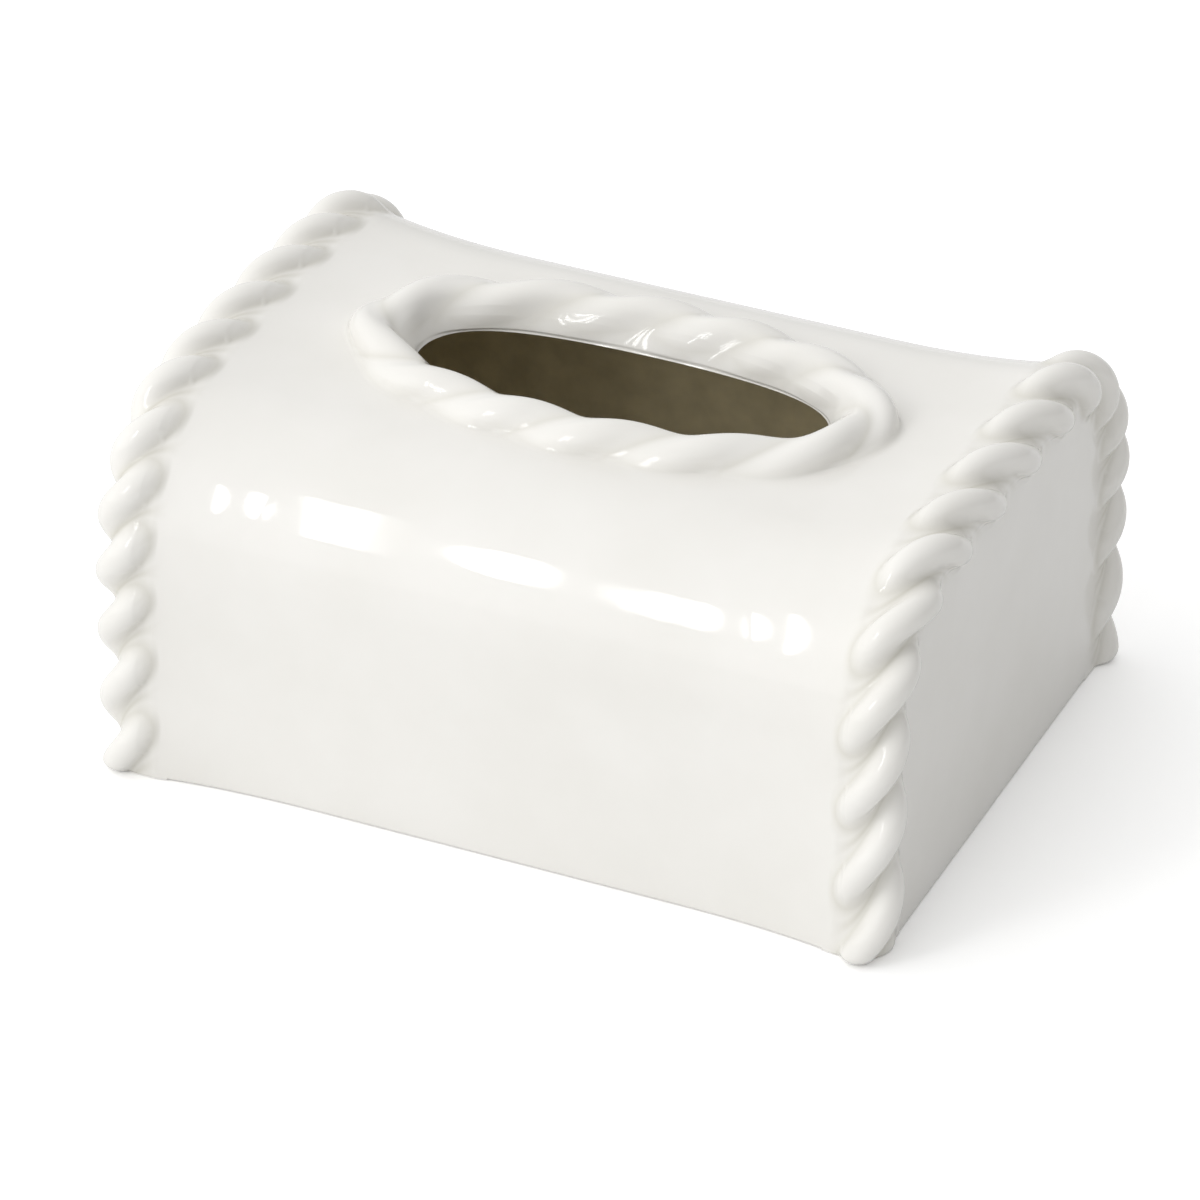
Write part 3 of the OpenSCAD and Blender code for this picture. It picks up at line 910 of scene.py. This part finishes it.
class COVER_OT_end_ropes(bpy.types.Operator):
    """Build the two strands of each end rope"""

    bl_idname = "cover.end_ropes"
    bl_label = "Build End Ropes"

    def execute(self, context):
        for side, name in ((-1, "left"), (1, "right")):
            rope = EndRope(context.scene, side)
            for half, strand, node in ((0, "first", "a"), (1, "second", "b")):
                piece = rope.strand(name + "_" + strand + "_strand", half)
                take_place(piece, name + "_rope_strand_" + node)
        return {"FINISHED"}


class COVER_OT_ring(bpy.types.Operator):
    """Build the two strands of the rope ring round the opening"""

    bl_idname = "cover.ring"
    bl_label = "Build Ring"

    def execute(self, context):
        ring = Ring(context.scene)
        ring.lay_surface()
        for half, strand, node in ((0, "first", "a"), (1, "second", "b")):
            take_place(ring.strand("ring_" + strand + "_strand", half), "opening_rope_strand_" + node)
        return {"FINISHED"}


class COVER_OT_collar(bpy.types.Operator):
    """Build the collar with its rounded lip inside the ring"""

    bl_idname = "cover.collar"
    bl_label = "Build Collar"

    # Columns over the lip, and shares of the ring's radius: how far inside the ring's centre line the
    # collar and its lip begin, and how far below the roof the collar begins.
    LIP_COLUMNS = 12
    START_SHARE = 0.53
    LIP_SHARE = 0.8
    DEPTH_SHARE = 0.22

    def execute(self, context):
        ring = Ring(context.scene)
        start = -self.START_SHARE * ring.size
        columns = [ring.place(start, -ring.shell.wall), ring.place(start, -self.DEPTH_SHARE * ring.size)]
        reach = (self.LIP_SHARE * ring.size - ring.lip_start) / ring.lip
        first_turn = np.arcsin(np.clip(reach, 0, 1))
        for way in np.linspace(0, 1, self.LIP_COLUMNS):
            turn = first_turn + (ring.lip_turn - first_turn) * way
            inward = ring.lip_start + ring.lip * np.sin(turn)
            columns.append(ring.place(-inward, ring.lip * (np.cos(turn) - 1)))
        points = np.concatenate(columns + columns[:1], axis=1)
        take_place(lay_grid("smooth_collar", close_ring(points)), "opening_collar")
        return {"FINISHED"}


def hang_lamp(name, azimuth, elevation, width, height, radiance=9.0, distance=1.2):
    """Hang an oval lamp that faces the cover. Its height lies across the cover's length.

    Azimuth goes from the front towards the right, and elevation up from the floor, both in degrees.
    The lamp's energy is pi times its radiance times its area.
    """
    azimuth, elevation = radians(azimuth), radians(elevation)
    towards = Vector((sin(azimuth) * cos(elevation), -cos(azimuth) * cos(elevation), sin(elevation)))
    tall = towards.cross(Vector((1, 0, 0))).normalized()
    matrix = Matrix((tall.cross(towards), tall, towards)).transposed().to_4x4()
    matrix.translation = Vector((0, 0, CAD_HIGH.z / 2)) + distance * towards
    data = bpy.data.lights.new(name, "AREA")
    data.shape = "ELLIPSE"
    data.size, data.size_y = width, height
    data.energy = pi * radiance * pi / 4 * width * height
    item = bpy.data.objects.new(name, data)
    item.matrix_world = matrix
    bpy.context.scene.collection.objects.link(item)


class COVER_OT_stage(bpy.types.Operator):
    """Lay the floor, hang the lamps and set up the camera"""

    bl_idname = "cover.stage"
    bl_label = "Set Stage"

    # Half of the floor's width, its depth below the cover's rim, and its colour to the camera.
    FLOOR_HALF = 4.0
    FLOOR_DROP = 0.0002
    FLOOR_SEEN = (1.27, 1.27, 1.27, 1.0)

    # Yaw, pitch and roll, the point that the camera looks at, and its sensor and lens in millimetres.
    CAMERA_TURNS = radians(23.84), radians(31.73), radians(0.59)
    CAMERA_TARGET = Vector((-0.00436, -0.00378, 0.04053))
    CAMERA_DISTANCE = 2.160
    SENSOR_WIDTH, LENS = 36.0, 212.96
    CLIP = 0.05, 20.0

    # The direction of each glow, from where to where its cosine counts, and its strengths there.
    SKY = (-0.62, -0.02, 0.78), (-0.9, 0.9), (0.04, 1.0)
    WINDOW = (-0.56, -0.82, 0.10), (0.5, 1.0), (0.0, 0.62)

    # Name, azimuth, elevation, width and height.
    LAMPS = (
        ("left lamp", -28.4, 33.0, 0.046, 0.60),
        ("middle lamp", -23.6, 33.0, 0.048, 0.40),
        ("right lamp", -19.2, 32.0, 0.030, 0.42),
    )

    def execute(self, context):
        scene = context.scene
        self.lay_floor(scene)
        self.light_room(scene)
        self.set_camera(scene)
        scene.view_settings.view_transform = "Standard"
        return {"FINISHED"}

    def lay_floor(self, scene):
        """A pale floor just under the cover, brighter to the camera, which keeps its shadow."""
        bm = bmesh.new()
        bmesh.ops.create_grid(bm, x_segments=1, y_segments=1, size=self.FLOOR_HALF)
        mesh = bpy.data.meshes.new("floor")
        bm.to_mesh(mesh)
        bm.free()
        ground = bpy.data.objects.new("floor", mesh)
        ground.location.z = -self.FLOOR_DROP
        scene.collection.objects.link(ground)
        material = bpy.data.materials.new("White floor")
        material.use_nodes = True
        nodes, links = material.node_tree.nodes, material.node_tree.links
        nodes.remove(nodes["Principled BSDF"])
        path = nodes.new("ShaderNodeLightPath")
        mix = nodes.new("ShaderNodeMix")
        mix.data_type = "RGBA"
        mix.inputs[MIX_FIRST].default_value = (*scene.cover_colours.floor, 1.0)
        mix.inputs[MIX_SECOND].default_value = self.FLOOR_SEEN
        diffuse = nodes.new("ShaderNodeBsdfDiffuse")
        links.new(path.outputs["Is Camera Ray"], mix.inputs["Factor"])
        links.new(mix.outputs[MIX_RESULT], diffuse.inputs["Color"])
        links.new(diffuse.outputs["BSDF"], nodes["Material Output"].inputs["Surface"])
        mesh.materials.append(material)

    def light_room(self, scene):
        """Light from a sky and a window without edges, and from lamps that the glaze mirrors.

        The camera itself sees plain white.
        """
        world = bpy.data.worlds.new("studio")
        world.use_nodes = True
        scene.world = world
        nodes, links = world.node_tree.nodes, world.node_tree.links
        direction = nodes.new("ShaderNodeTexCoord")
        strengths = []
        for towards, reach, strength in (self.SKY, self.WINDOW):
            dot = nodes.new("ShaderNodeVectorMath")
            dot.operation = "DOT_PRODUCT"
            dot.inputs[1].default_value = towards
            links.new(direction.outputs["Generated"], dot.inputs[0])
            glow = nodes.new("ShaderNodeMapRange")
            glow.interpolation_type = "SMOOTHSTEP"
            glow.inputs["From Min"].default_value, glow.inputs["From Max"].default_value = reach
            glow.inputs["To Min"].default_value, glow.inputs["To Max"].default_value = strength
            links.new(dot.outputs["Value"], glow.inputs["Value"])
            strengths.append(glow.outputs["Result"])
        total = nodes.new("ShaderNodeMath")
        for value, socket in zip(strengths, total.inputs):
            links.new(value, socket)
        lit = nodes["Background"]
        links.new(total.outputs[0], lit.inputs["Strength"])
        white = nodes.new("ShaderNodeBackground")
        for background in (lit, white):
            background.inputs["Color"].default_value = (1, 1, 1, 1)
        path = nodes.new("ShaderNodeLightPath")
        mix = nodes.new("ShaderNodeMixShader")
        links.new(path.outputs["Is Camera Ray"], mix.inputs[0])
        links.new(lit.outputs[0], mix.inputs[1])
        links.new(white.outputs[0], mix.inputs[2])
        links.new(mix.outputs[0], nodes["World Output"].inputs["Surface"])
        for row in self.LAMPS:
            hang_lamp(*row)

    def set_camera(self, scene):
        """Set up the camera at the photograph's angle."""
        yaw, pitch, roll = self.CAMERA_TURNS
        back = Vector((sin(yaw) * cos(pitch), -cos(yaw) * cos(pitch), sin(pitch)))
        right = (-back).cross(Vector((0, 0, 1))).normalized()
        up = back.cross(right)
        rolled_right = cos(roll) * right + sin(roll) * up
        rolled_up = cos(roll) * up - sin(roll) * right
        matrix = Matrix((rolled_right, rolled_up, back)).transposed().to_4x4()
        matrix.translation = self.CAMERA_TARGET + back * self.CAMERA_DISTANCE
        data = bpy.data.cameras.new("camera")
        data.sensor_width, data.lens = self.SENSOR_WIDTH, self.LENS
        data.clip_start, data.clip_end = self.CLIP
        camera = bpy.data.objects.new("camera", data)
        camera.matrix_world = matrix
        scene.collection.objects.link(camera)
        scene.camera = camera


class COVER_PT_panel(bpy.types.Panel):
    """Lists the steps that build the cover"""

    bl_idname = "COVER_PT_panel"
    bl_label = "Tissue Box Cover"
    bl_space_type = "VIEW_3D"
    bl_region_type = "UI"
    bl_category = "Tissue Cover"

    def draw(self, context):
        for name, group in GROUPS.items():
            box = self.layout.box()
            for size in group.__annotations__:
                box.prop(getattr(context.scene, name), size)
        for operator in OPERATORS:
            self.layout.operator(operator.bl_idname)


GROUPS = {
    "cover_shell": ShellSizes,
    "cover_rope": EndRopeSizes,
    "cover_opening": OpeningSizes,
    "cover_colours": GlazeColours,
}
OPERATORS = (COVER_OT_materials, COVER_OT_slab, COVER_OT_end_panels, COVER_OT_end_ropes, COVER_OT_ring,
             COVER_OT_collar, COVER_OT_stage)


def register():
    for name, group in GROUPS.items():
        bpy.utils.register_class(group)
        setattr(bpy.types.Scene, name, PointerProperty(type=group))
    for item in (*OPERATORS, COVER_PT_panel):
        bpy.utils.register_class(item)


def unregister():
    for item in (COVER_PT_panel, *reversed(OPERATORS)):
        bpy.utils.unregister_class(item)
    for name, group in reversed(GROUPS.items()):
        delattr(bpy.types.Scene, name)
        bpy.utils.unregister_class(group)


def main():
    register()
    bpy.ops.cover.materials()
    bpy.ops.cover.slab()
    bpy.ops.cover.end_panels()
    bpy.ops.cover.end_ropes()
    bpy.ops.cover.ring()
    bpy.ops.cover.collar()
    bpy.ops.cover.stage()


if __name__ == "__main__":
    main()
